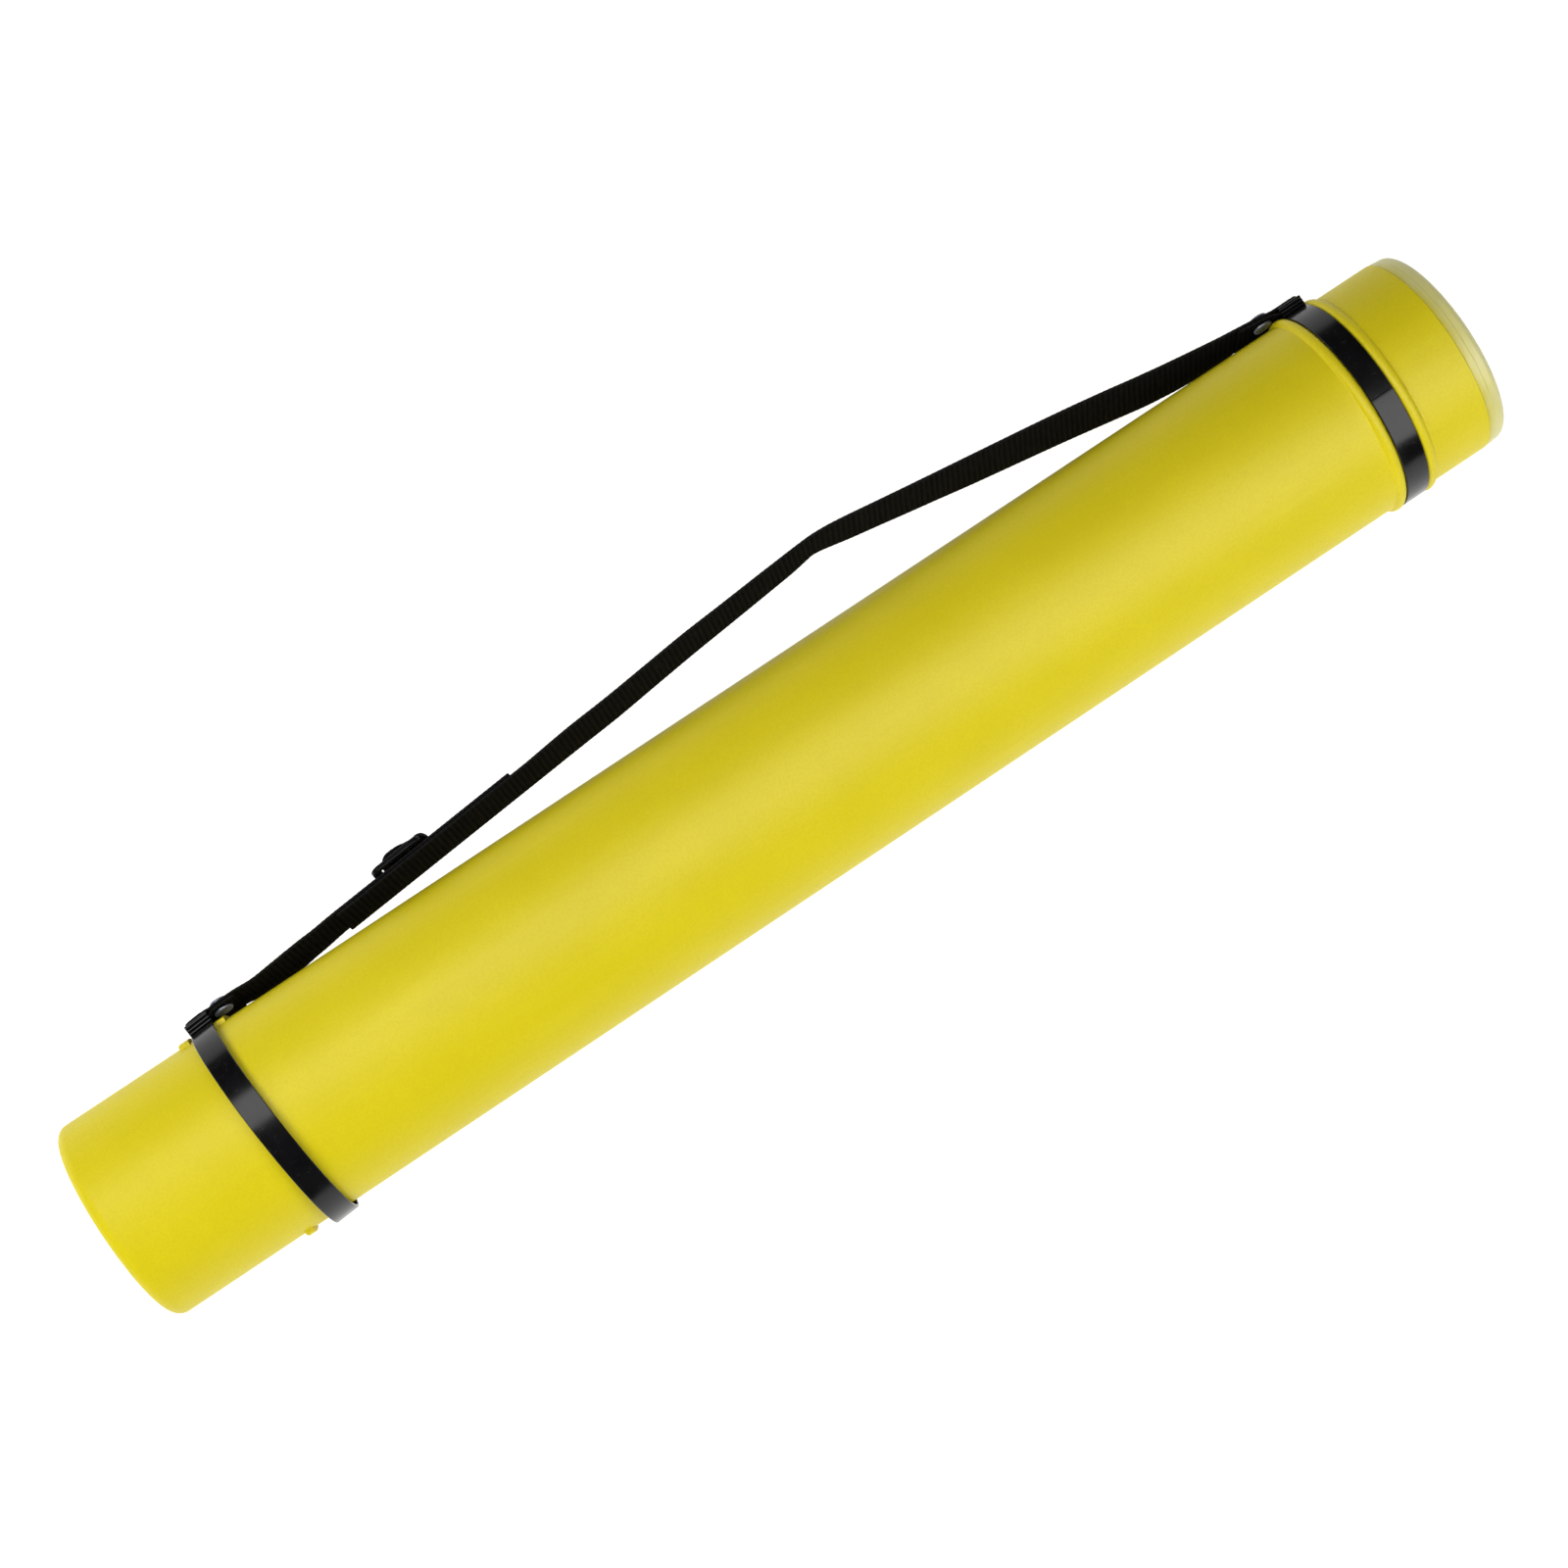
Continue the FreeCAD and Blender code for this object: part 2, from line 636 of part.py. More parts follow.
os.makedirs("parts", exist_ok=True)
PARTS = build()
for name, shape in PARTS.items():
    shape.exportStep(f"parts/{name}.step")
    size = shape.BoundBox
    print(f"{name:15s} valid {shape.isValid()} solids {len(shape.Solids)} volume {shape.Volume:9.0f}", size)
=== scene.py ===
# Drawing tube with a carrying strap: materials, webbing, floor, lights and camera around the CAD model.
# Lengths are in metres, except where a name ends in _MM or a table says so.
# X runs along the tube, the strap is on the +Y side, Z is up.
import math

import bpy
from mathutils import Matrix, Vector


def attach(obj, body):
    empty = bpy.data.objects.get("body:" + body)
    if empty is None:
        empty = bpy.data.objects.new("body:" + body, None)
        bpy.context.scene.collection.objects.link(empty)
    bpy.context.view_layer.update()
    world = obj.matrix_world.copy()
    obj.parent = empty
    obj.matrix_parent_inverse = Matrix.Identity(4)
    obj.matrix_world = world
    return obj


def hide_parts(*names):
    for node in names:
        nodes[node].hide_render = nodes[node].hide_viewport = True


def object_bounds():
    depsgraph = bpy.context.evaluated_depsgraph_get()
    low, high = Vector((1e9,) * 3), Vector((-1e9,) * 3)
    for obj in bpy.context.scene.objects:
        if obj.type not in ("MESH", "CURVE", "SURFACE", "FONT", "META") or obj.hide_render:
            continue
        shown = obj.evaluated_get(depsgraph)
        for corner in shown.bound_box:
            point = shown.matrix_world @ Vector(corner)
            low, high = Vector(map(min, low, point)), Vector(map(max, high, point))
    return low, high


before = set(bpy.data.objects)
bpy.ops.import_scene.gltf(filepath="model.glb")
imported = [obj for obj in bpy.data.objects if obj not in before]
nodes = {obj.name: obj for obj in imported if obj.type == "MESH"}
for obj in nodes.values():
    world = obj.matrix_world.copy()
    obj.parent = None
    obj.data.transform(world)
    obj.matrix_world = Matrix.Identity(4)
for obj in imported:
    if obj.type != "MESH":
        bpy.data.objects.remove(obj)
cad_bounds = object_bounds()
scene = bpy.context.scene

MM = 0.001

# Camera, at the photograph's viewing angle: nearly overhead, turned so that the tube climbs to the right.
PICTURE_TURN = math.radians(33.565)
CAMERA_LEAN = math.radians(3.751)
CAMERA_PLACE = Vector((0.2377, -0.00056, 1.3028))
LENS_MM = 73.06
SENSOR_MM = 36.0


def add_camera():
    along = Vector((math.cos(CAMERA_LEAN), 0, math.sin(CAMERA_LEAN)))
    across = Vector((0, 1, 0))
    right = along * math.cos(PICTURE_TURN) - across * math.sin(PICTURE_TURN)
    up = along * math.sin(PICTURE_TURN) + across * math.cos(PICTURE_TURN)
    back = right.cross(up)
    data = bpy.data.cameras.new("camera")
    data.sensor_width = SENSOR_MM
    data.lens = LENS_MM
    data.clip_start = 0.01
    data.clip_end = 200.0
    camera = bpy.data.objects.new("camera", data)
    turn = Matrix((right, up, back)).transposed().to_4x4()
    camera.matrix_world = Matrix.Translation(CAMERA_PLACE) @ turn
    scene.collection.objects.link(camera)
    scene.camera = camera
    return right


picture_right = add_camera()


# Shader helpers


class Shader:
    """A node material under construction. Inputs are given by socket name, as values or as other sockets."""

    def __init__(self, name):
        self.material = bpy.data.materials.new(name)
        self.material.use_nodes = True
        self.tree = self.material.node_tree
        self.tree.nodes.clear()
        self.output = self.tree.nodes.new("ShaderNodeOutputMaterial")

    def add(self, kind, settings=(), **inputs):
        """A node of that kind. An input is named with underscores for spaces, or by its number after one."""
        made = self.tree.nodes.new("ShaderNode" + kind)
        for key, value in dict(settings).items():
            setattr(made, key, value)
        for key, value in inputs.items():
            name = key.replace("_", " ")
            socket = made.inputs[int(key[1:])] if key[1:].isdigit() else made.inputs[name]
            self.feed(socket, value)
        return made

    def feed(self, socket, value):
        if isinstance(value, bpy.types.NodeSocket):
            self.tree.links.new(value, socket)
        else:
            socket.default_value = value

    def math(self, operation, a, b=0.0):
        return self.add("Math", {"operation": operation}, _0=a, _1=b).outputs[0]

    def place(self):
        """Position in the piece's own coordinates, which are the CAD frame's at rest."""
        return self.add("TexCoord").outputs["Object"]

    def stretched(self, vector, scale):
        return self.add("Mapping", Vector=vector, Scale=scale).outputs[0]

    def noise(self, vector, scale, detail=2.0, roughness=0.5):
        return self.add("TexNoise", Vector=vector, Scale=scale, Detail=detail, Roughness=roughness).outputs[0]

    def ramp(self, factor, low, high, a, b):
        """factor from low to high, turned into a value from a to b."""
        limits = {"From_Min": low, "From_Max": high, "To_Min": a, "To_Max": b}
        return self.add("MapRange", {"interpolation_type": "SMOOTHSTEP"}, Value=factor, **limits).outputs[0]

    def blend(self, factor, a, b):
        """Colour a where factor is 0 and b where it is 1."""
        mixed = self.add("Mix", {"data_type": "RGBA"})
        for index, value in ((0, factor), (6, a), (7, b)):
            self.feed(mixed.inputs[index], value)
        return mixed.outputs[2]

    def bump(self, height, strength, distance, normal=None):
        """Surface normal of a relief that deep in metres, over another normal."""
        bump = self.add("Bump", Height=height, Strength=strength, Distance=distance)
        if normal is not None:
            self.feed(bump.inputs["Normal"], normal)
        return bump.outputs[0]

    def finish(self, **inputs):
        """The material, with a Principled surface that has these inputs."""
        surface = self.add("BsdfPrincipled", **inputs)
        self.tree.links.new(surface.outputs[0], self.output.inputs[0])
        return self.material


def rgba(red, green, blue):
    return (red, green, blue, 1.0)


WHITE = rgba(1.0, 1.0, 1.0)


# Materials. The scales of noises and cells are per metre, and the depths of bumps are in metres.


def tube_material():
    """Yellow polyethylene with a moulded pebble grain."""
    sh = Shader("tube_yellow")
    place = sh.place()
    cells = sh.add("TexVoronoi", {"feature": "SMOOTH_F1"}, Vector=place, Scale=1050.0, Smoothness=0.7)
    cells = cells.outputs[0]
    fine = sh.noise(place, 2600.0, 3.0)
    soft = sh.noise(place, 190.0, 2.0)
    cloud = sh.noise(place, 26.0, 3.0, 0.6)
    streak = sh.noise(sh.stretched(place, (9.0, 160.0, 160.0)), 1.0, 3.0)
    shade = sh.ramp(cloud, 0.3, 0.7, 0.0, 1.0)
    base = sh.blend(shade, rgba(0.785, 0.655, 0.0075), rgba(0.815, 0.680, 0.0100))
    # Painted shade: the hollows between the grain's pebbles are painted darker.
    base = sh.blend(sh.ramp(cells, 0.15, 0.75, 0.0, 0.30), base, rgba(0.70, 0.57, 0.005))
    base = sh.blend(sh.ramp(streak, 0.55, 0.8, 0.0, 0.18), base, rgba(0.84, 0.73, 0.035))
    height = sh.math("ADD", sh.math("MULTIPLY", cells, -1.0), sh.math("MULTIPLY", fine, 0.35))
    normal = sh.bump(height, 0.20, 0.00008)
    normal = sh.bump(soft, 0.10, 0.0004, normal)
    rough = sh.ramp(sh.math("ADD", cells, sh.math("MULTIPLY", cloud, 0.3)), 0.2, 1.0, 0.42, 0.54)
    return sh.finish(Base_Color=base, Roughness=rough, Normal=normal, IOR=1.5, Specular_IOR_Level=0.2,
                     Subsurface_Weight=0.06, Subsurface_Radius=(0.004, 0.003, 0.0006), Subsurface_Scale=0.6)


# Where the cap's rim leaves the tube's mouth, and where the tube's yellow light painted into its colour has
# faded to its own, along the tube.
CAP_SEAT = 0.6445
CAP_LIP = 0.6490
CAP_FACE = 0.6535


def cap_material():
    """Natural milky polyethylene. The tube's yellow light is painted into its colour where it meets the tube,
    as a painted glow that greys to its own colour towards its end.
    """
    sh = Shader("cap_natural")
    place = sh.place()
    along = sh.add("SeparateXYZ", Vector=place).outputs[0]
    cloud = sh.noise(place, 90.0, 3.0, 0.6)
    fine = sh.noise(place, 1800.0, 2.0)
    from_seat = sh.math("ADD", along, sh.math("MULTIPLY", cloud, 0.0012))
    # Painted glow: yellow light from the tube painted into the rim, fading from the seat to the lip and on to
    # the face.
    painted_glow_fade = sh.ramp(from_seat, CAP_SEAT, CAP_LIP, 0.0, 1.0)
    base = sh.blend(painted_glow_fade, rgba(0.74, 0.64, 0.085), rgba(0.80, 0.745, 0.255))
    base = sh.blend(sh.ramp(from_seat, CAP_LIP, CAP_FACE, 0.0, 1.0), base, rgba(0.80, 0.76, 0.37))
    base = sh.blend(sh.ramp(cloud, 0.35, 0.75, 0.0, 0.25), base, rgba(0.78, 0.745, 0.46))
    rings = sh.add("TexWave", {"wave_type": "BANDS", "bands_direction": "X"}, Vector=place, Scale=330.0,
                   Distortion=0.2).outputs[1]
    normal = sh.bump(rings, 0.06, 0.0002)
    normal = sh.bump(fine, 0.06, 0.0001, normal)
    rough = sh.ramp(cloud, 0.3, 0.7, 0.30, 0.40)
    return sh.finish(Base_Color=base, Roughness=rough, Normal=normal, IOR=1.51, Specular_IOR_Level=0.3,
                     Transmission_Weight=0.07, Subsurface_Weight=0.35,
                     Subsurface_Radius=(0.006, 0.005, 0.003), Subsurface_Scale=0.7)


def black_plastic(name, grain_scale, low_rough, high_rough, scuff, gloss):
    """Glossy black moulded plastic with faint extrusion lines and rubbed spots.

    Its roughness goes from low_rough to high_rough. scuff is the rubbed spots' share of the colour, and
    gloss is the specular level.
    """
    sh = Shader(name)
    place = sh.place()
    cloud = sh.noise(place, 45.0, 3.0, 0.6)
    fine = sh.noise(place, grain_scale, 3.0)
    lines = sh.noise(sh.stretched(place, (2400.0, 70.0, 70.0)), 1.0, 2.0)
    rubbed = sh.ramp(sh.noise(place, 320.0, 4.0, 0.7), 0.56, 0.72, 0.0, scuff)
    shade = sh.ramp(cloud, 0.3, 0.7, 0.0, 1.0)
    base = sh.blend(shade, rgba(0.0036, 0.0036, 0.0042), rgba(0.0062, 0.0061, 0.0068))
    base = sh.blend(rubbed, base, rgba(0.03, 0.03, 0.032))
    height = sh.math("ADD", sh.math("MULTIPLY", fine, 0.5), lines)
    normal = sh.bump(height, 0.05, 0.00005)
    rough = sh.math("ADD", sh.ramp(cloud, 0.3, 0.7, low_rough, high_rough), sh.math("MULTIPLY", rubbed, 0.3))
    return sh.finish(Base_Color=base, Roughness=rough, Normal=normal, IOR=1.5, Specular_IOR_Level=gloss)


def rivet_material():
    """Blued steel with a clouded satin face."""
    sh = Shader("rivet_steel")
    place = sh.place()
    cloud = sh.noise(place, 240.0, 3.0, 0.6)
    fine = sh.noise(place, 3000.0, 3.0)
    base = sh.blend(sh.ramp(cloud, 0.3, 0.7, 0.0, 1.0), rgba(0.17, 0.19, 0.25), rgba(0.26, 0.28, 0.36))
    normal = sh.bump(fine, 0.12, 0.00006)
    rough = sh.ramp(cloud, 0.3, 0.7, 0.26, 0.38)
    return sh.finish(Base_Color=base, Roughness=rough, Normal=normal, Metallic=0.35)


# Webbing. Its path repeats the CAD solids' stations: the middle of a section and its width direction, in mm.

WEB_WIDTH_MM = 25.0
WEB_THICKNESS_MM = 1.3
LAYER_PITCH_MM = 1.4
SEWN_PITCH_MM = 1.35
SLACK_MM = 0.1
RIB_PITCH_MM = 2.4
YARN_PITCH_MM = 1.2
YARN_SLANT = 1.6
CHEVRON_MM = WEB_WIDTH_MM / 8
SEALED_TIP_MM = (0.5, 1.6)
SELVAGE_MM = (11.4, 12.4)


def webbing_material():
    """Black polypropylene webbing with a heat-sealed tip.

    The piece stores for each point how far it is across and along the webbing and from a cut end, in mm.
    """
    sh = Shader("webbing_black")
    attribute = sh.add("Attribute", {"attribute_name": "webbing_mm"}).outputs["Vector"]
    across, along, from_cut = sh.add("SeparateXYZ", Vector=attribute).outputs
    woven = sh.ramp(from_cut, *SEALED_TIP_MM, 0.0, 1.0)
    chevron = sh.math("PINGPONG", across, CHEVRON_MM)
    slanted = sh.math("ADD", sh.math("MULTIPLY", chevron, YARN_SLANT), along)
    yarn = sh.math("SINE", sh.math("MULTIPLY", slanted, 2 * math.pi / YARN_PITCH_MM))
    rib = sh.math("COSINE", sh.math("MULTIPLY", along, 2 * math.pi / RIB_PITCH_MM))
    fibre = sh.noise(sh.stretched(attribute, (5.0, 1.3, 1.0)), 1.0, 3.0, 0.6)
    cloud = sh.noise(sh.stretched(attribute, (0.10, 0.05, 1.0)), 1.0, 3.0, 0.6)
    height = sh.math("ADD", sh.math("MULTIPLY", yarn, 0.5), sh.math("MULTIPLY", rib, 0.25))
    height = sh.math("ADD", height, sh.math("MULTIPLY", fibre, 0.9))
    normal = sh.bump(sh.math("MULTIPLY", height, woven), 0.7, 0.00018)
    # Painted highlight: the raised yarns are painted lighter than the weave's hollows.
    painted_crest_light = sh.ramp(height, -0.4, 1.5, 0.0, 1.0)
    base = sh.blend(painted_crest_light, rgba(0.0030, 0.0030, 0.0032), rgba(0.0210, 0.0210, 0.0215))
    base = sh.blend(sh.ramp(cloud, 0.5, 0.75, 0.0, 0.35), base, rgba(0.026, 0.0255, 0.0245))
    from_middle = sh.math("ABSOLUTE", sh.math("SUBTRACT", across, WEB_WIDTH_MM / 2))
    edge = sh.ramp(from_middle, *SELVAGE_MM, 0.0, 0.5)
    base = sh.blend(edge, base, rgba(0.018, 0.018, 0.019))
    base = sh.blend(woven, rgba(0.011, 0.011, 0.012), base)
    rough = sh.ramp(fibre, 0.3, 0.7, 0.62, 0.82)
    return sh.finish(Base_Color=base, Roughness=rough, Normal=normal, Specular_IOR_Level=0.0)


TUBE = tube_material()
CAP = cap_material()
BAND = black_plastic("band_black", 1500.0, 0.15, 0.22, 0.25, 0.28)
CLIP = black_plastic("clip_black", 1100.0, 0.14, 0.20, 0.20, 0.28)
SLIDER = black_plastic("slider_black", 1300.0, 0.24, 0.34, 0.30, 0.10)
RIVET = rivet_material()
WEBBING = webbing_material()

FINISHES = {
    "tube_body": TUBE,
    "end_cap": CAP,
    "lower_band": BAND,
    "upper_band": BAND,
    "lower_clip": CLIP,
    "upper_clip": CLIP,
    "slider": SLIDER,
    "rivet_caps": RIVET,
    "rivet_posts": RIVET,
}
for node_name, finish in FINISHES.items():
    for material_slot in nodes[node_name].material_slots:
        material_slot.material = finish


# Bands and clips, as far as the webbing needs them
BAND_WIDTH_MM = 10.6
BAND_THICKNESS_MM = 1.1
CLIP_SLOT_MM = 1.5
CLIP_BAR_MM = 0.9
CLIP_TURN = -8.0
LOWER_BAND_PLACE_MM = (75.5, -0.3, 0.15)
LOWER_BAND_TILT = 4.35
LOWER_BAND_SKEW = 2.1
LOWER_BAND_INNER_RADIUS_MM = 47.1
UPPER_BAND_PLACE_MM = (607.3, 0.0, 0.0)
UPPER_BAND_INNER_RADIUS_MM = 45.3

# Where the folds' inner and outer runs begin, from the band's middle plane
FOLD_STEPS = 8
FOLD_TOP_END_MM = 4.2
LOWER_FOLD_FOOT_MM = 5.7
UPPER_FOLD_FOOT_MM = 5.4

# The strap between the bands, and the straight doubled stretch that the slider travels on. The stretch is
# given by the middle of the inner webbing: place along the tube, distance from the tube's axis.
STRAP_Z_MM = -6.9
STRAIGHT_START_MM = (128.0, 50.4)
STRAIGHT_END_MM = (240.0, 60.75)
STRAIGHT_TWIST = 17.5
LOWER_WEBBING_END_MM = 232.0
UPPER_WEBBING_END_MM = 142.0
DOUBLED_START_MM = 140.0
LOWER_STRAIGHT_MM = (DOUBLED_START_MM, 150.0, 190.0, LOWER_WEBBING_END_MM)
UPPER_STRAIGHT_MM = (UPPER_WEBBING_END_MM, 190.0, 230.0, STRAIGHT_END_MM[0])
SLIDER_PLACE_MM = 175.8
SLIDER_CLEARANCE_MM = 0.2
SLIDER_THICKNESS_MM = 2.3

# Each fold's two layers where they are riveted together, in the band's own frame: place along the band's
# axis, height of the stack's middle, twist in degrees.
LOWER_STACK = ((8.0, 49.45, 5.0), (11.0, 49.2, 6.0), (18.2, 48.65, 7.0))
UPPER_STACK = ((-8.0, 48.6, 2.0), (-12.5, 48.75, 4.5), (-24.0, 49.3, 7.5))

# The single webbing on both sides of the doubled stretch: place along the tube, distance from the tube's
# axis, twist in degrees.
LOWER_RUN = (
    (99.0, 49.0, 17.0),
    (108.0, 49.45, 18.8),
    (116.0, 50.05, 20.2),
    (124.0, 51.0, 19.2),
    (130.0, 51.55, 18.4),
)
UPPER_RUN = (
    (262.0, 63.1, 19.0),
    (282.0, 64.85, 18.8),
    (302.0, 67.1, 18.3),
    (322.0, 69.35, 18.0),
    (342.0, 71.15, 16.9),
    (362.0, 73.0, 16.0),
    (376.0, 74.3, 15.0),
    (383.0, 75.1, 13.5),
    (387.0, 75.5, 12.5),
    (391.0, 75.35, 13.2),
    (396.0, 74.8, 14.8),
    (404.0, 73.6, 16.5),
    (419.0, 71.35, 17.6),
    (431.0, 69.55, 18.7),
    (444.0, 67.65, 19.8),
    (460.0, 65.3, 21.6),
    (484.0, 61.95, 23.2),
    (497.0, 60.1, 23.9),
    (509.0, 58.3, 24.5),
    (525.0, 55.7, 25.1),
    (540.0, 53.2, 25.2),
    (554.0, 51.4, 23.8),
    (566.0, 50.3, 21.2),
    (576.0, 49.55, 18.7),
)

# The humps over the slider's middle bar, in the slider's own frame: place along the strap, height
BAR_TOP_MM = SLIDER_THICKNESS_MM + SLACK_MM + WEB_THICKNESS_MM / 2
INNER_HUMP = ((-5.4, 0.1), (-4.9, 1.4), (-2.9, BAR_TOP_MM), (2.9, BAR_TOP_MM), (4.9, 1.4), (5.4, 0.1))
OUTER_HUMP = (
    (-7.3, 0.1),
    (-6.6, 1.8),
    (-3.9, BAR_TOP_MM + LAYER_PITCH_MM),
    (2.8, BAR_TOP_MM + LAYER_PITCH_MM),
    (5.5, BAR_TOP_MM + 0.6),
    (8.5, BAR_TOP_MM + 0.1),
    (12.4, BAR_TOP_MM),
    (13.9, 1.9),
    (14.7, 0.2),
)

Y_AXIS = Vector((0, 1, 0))
Z_AXIS = Vector((0, 0, 1))


def turned(angle, axis):
    return Matrix.Rotation(math.radians(angle), 4, axis)


def band_frame(place, tilt, skew):
    """A band's own frame: X along its axis, and Y outwards at its clip, a little below the +Y side."""
    return Matrix.Translation(Vector(place)) @ turned(skew, "Y") @ turned(tilt, "Z") @ turned(CLIP_TURN, "X")


LOWER_FRAME = band_frame(LOWER_BAND_PLACE_MM, LOWER_BAND_TILT, LOWER_BAND_SKEW)
UPPER_FRAME = band_frame(UPPER_BAND_PLACE_MM, 0.0, 0.0)


def width_direction(twist):
    turn = math.radians(twist)
    return Vector((0, math.sin(turn), math.cos(turn)))


def free_station(x, y, twist):
    """A station between the bands, in the tube's frame."""
    return Vector((x, y, STRAP_Z_MM)), width_direction(twist)


def layer_station(place, x, middle, offset=0.0, twist=0.0):
    """A station in a band's own frame, that far from the middle of its stack."""
    turn = math.radians(twist)
    centre = Vector((x, middle, 0)) + Vector((0, math.cos(turn), -math.sin(turn))) * offset
    return place @ centre, place.to_3x3() @ width_direction(twist)


def stack_stations(place, stack, side):
    """One of the two layers that are riveted together: side is 1 for the outer one and -1 for the inner."""
    return [layer_station(place, x, middle, side * SEWN_PITCH_MM / 2, twist) for x, middle, twist in stack]


def fold_heights(inner_radius):
    """Middles of the webbing under the clip's bar and over it."""
    outer = inner_radius + BAND_THICKNESS_MM
    return outer + CLIP_SLOT_MM / 2, outer + CLIP_SLOT_MM + CLIP_BAR_MM + SLACK_MM + WEB_THICKNESS_MM / 2


def fold_stations(place, inner_radius, side):
    """Half a turn round the clip's bar, from under it to over it. side is the end of the bar's X."""
    under, over = fold_heights(inner_radius)
    radius = (over - under) / 2
    centre_x = BAND_WIDTH_MM / 2 - radius - WEB_THICKNESS_MM / 2
    stations = []
    for step in range(FOLD_STEPS + 1):
        turn = math.pi * step / FOLD_STEPS
        x = side * (centre_x + radius * math.sin(turn))
        stations.append(layer_station(place, x, (under + over) / 2 - radius * math.cos(turn)))
    return stations


def slider_frame():
    """The slider's own frame: X along the strap and Y outwards from the webbing's outer face."""
    run = Vector((STRAIGHT_END_MM[0] - STRAIGHT_START_MM[0], STRAIGHT_END_MM[1] - STRAIGHT_START_MM[1], 0))
    run.normalize()
    width = width_direction(STRAIGHT_TWIST)
    across = (width - run * width.dot(run)).normalized()
    outward = across.cross(run)
    rise = LAYER_PITCH_MM + WEB_THICKNESS_MM / 2 + SLIDER_CLEARANCE_MM
    middle = Vector((SLIDER_PLACE_MM, straight_height(SLIDER_PLACE_MM), STRAP_Z_MM)) + outward * rise
    return Matrix.Translation(middle) @ Matrix((run, outward, across)).transposed().to_4x4()


def straight_height(x):
    """How far the inner webbing's middle is from the tube's axis."""
    slope = (STRAIGHT_END_MM[1] - STRAIGHT_START_MM[1]) / (STRAIGHT_END_MM[0] - STRAIGHT_START_MM[0])
    return STRAIGHT_START_MM[1] + slope * (x - STRAIGHT_START_MM[0])


SLIDER_FRAME = slider_frame()


def straight_station(x, layers_up=0):
    centre, width = free_station(x, straight_height(x), STRAIGHT_TWIST)
    return centre + SLIDER_FRAME.to_3x3() @ Y_AXIS * (LAYER_PITCH_MM * layers_up), width


def lower_webbing_stations():
    under, over = fold_heights(LOWER_BAND_INNER_RADIUS_MM)
    stations = stack_stations(LOWER_FRAME, LOWER_STACK[::-1], -1)
    stations.append(layer_station(LOWER_FRAME, LOWER_FOLD_FOOT_MM, under))
    stations += fold_stations(LOWER_FRAME, LOWER_BAND_INNER_RADIUS_MM, -1)
    stations.append(layer_station(LOWER_FRAME, FOLD_TOP_END_MM, over))
    stations += stack_stations(LOWER_FRAME, LOWER_STACK, 1)
    stations += [free_station(x, y, twist) for x, y, twist in LOWER_RUN]
    stations += [straight_station(x, 1) for x in LOWER_STRAIGHT_MM]
    return stations


def upper_webbing_stations():
    under, over = fold_heights(UPPER_BAND_INNER_RADIUS_MM)
    stations = [straight_station(x) for x in UPPER_STRAIGHT_MM]
    stations += [free_station(x, y, twist) for x, y, twist in UPPER_RUN]
    stations += stack_stations(UPPER_FRAME, UPPER_STACK[::-1], 1)
    stations.append(layer_station(UPPER_FRAME, -FOLD_TOP_END_MM, over))
    stations += fold_stations(UPPER_FRAME, UPPER_BAND_INNER_RADIUS_MM, 1)[::-1]
    stations.append(layer_station(UPPER_FRAME, -UPPER_FOLD_FOOT_MM, under))
    stations += stack_stations(UPPER_FRAME, UPPER_STACK, -1)
    return stations


def hump_stations(path):
    across = SLIDER_FRAME.to_3x3() @ Z_AXIS
    return [(SLIDER_FRAME @ Vector((x, y, 0)), across) for x, y in path]


# The strip's mesh. SELVAGE_PINCH and END_PINCH are the shares of its thickness lost at its rims.
SAMPLE_STEP_MM = 0.4
FINE_STEP_MM = 0.1
COLUMNS = 24
RIB_HEIGHT_MM = 0.07
EDGE_SCALLOP_MM = 0.08
SELVAGE_PINCH = 0.35
SELVAGE_POWER = 12
END_PINCH = 0.35
END_PINCH_MM = 0.8

# The steps by which four points are blended into one on the curve: which knots each blend lies between
KNOT_SPANS = (((0, 1), (1, 2), (2, 3)), ((0, 2), (1, 3)), ((1, 2),))


def curve_point(points, share):
    """The point that far from the second to the third of four, on a centripetal Catmull-Rom curve."""
    knots = [0.0]
    for a, b in zip(points, points[1:]):
        knots.append(knots[-1] + math.sqrt(max((b - a).length, 1e-6)))
    at = knots[1] + (knots[2] - knots[1]) * share
    for spans in KNOT_SPANS:
        shares = [(at - knots[low]) / (knots[high] - knots[low]) for low, high in spans]
        points = [a.lerp(b, part) for a, b, part in zip(points, points[1:], shares)]
    return points[0]


def smooth_path(stations):
    """The stations joined by a smooth curve: centres and width directions at even steps."""
    centres = [station[0] for station in stations]
    widths = [station[1] for station in stations]
    before = 2 * centres[0] - centres[1]
    after = 2 * centres[-1] - centres[-2]
    centres = [before] + centres + [after]
    samples = []
    for index in range(len(stations) - 1):
        four = centres[index:index + 4]
        count = max(2, round((four[2] - four[1]).length / FINE_STEP_MM))
        for step in range(count):
            share = step / count
            samples.append((curve_point(four, share), widths[index].lerp(widths[index + 1], share)))
    samples.append(stations[-1])
    return evenly(samples)


def evenly(samples):
    """The fine samples thinned to even steps along the path, each with its distance from the start."""
    travelled = [0.0]
    for a, b in zip(samples, samples[1:]):
        travelled.append(travelled[-1] + (b[0] - a[0]).length)
    count = round(travelled[-1] / SAMPLE_STEP_MM)
    even = []
    index = 0
    for step in range(count + 1):
        distance = travelled[-1] * step / count
        while index < len(samples) - 2 and travelled[index + 1] < distance:
            index += 1
        share = (distance - travelled[index]) / (travelled[index + 1] - travelled[index])
        here = samples[index][0].lerp(samples[index + 1][0], share)
        width = samples[index][1].lerp(samples[index + 1][1], share)
        even.append((distance, here, width))
    return even


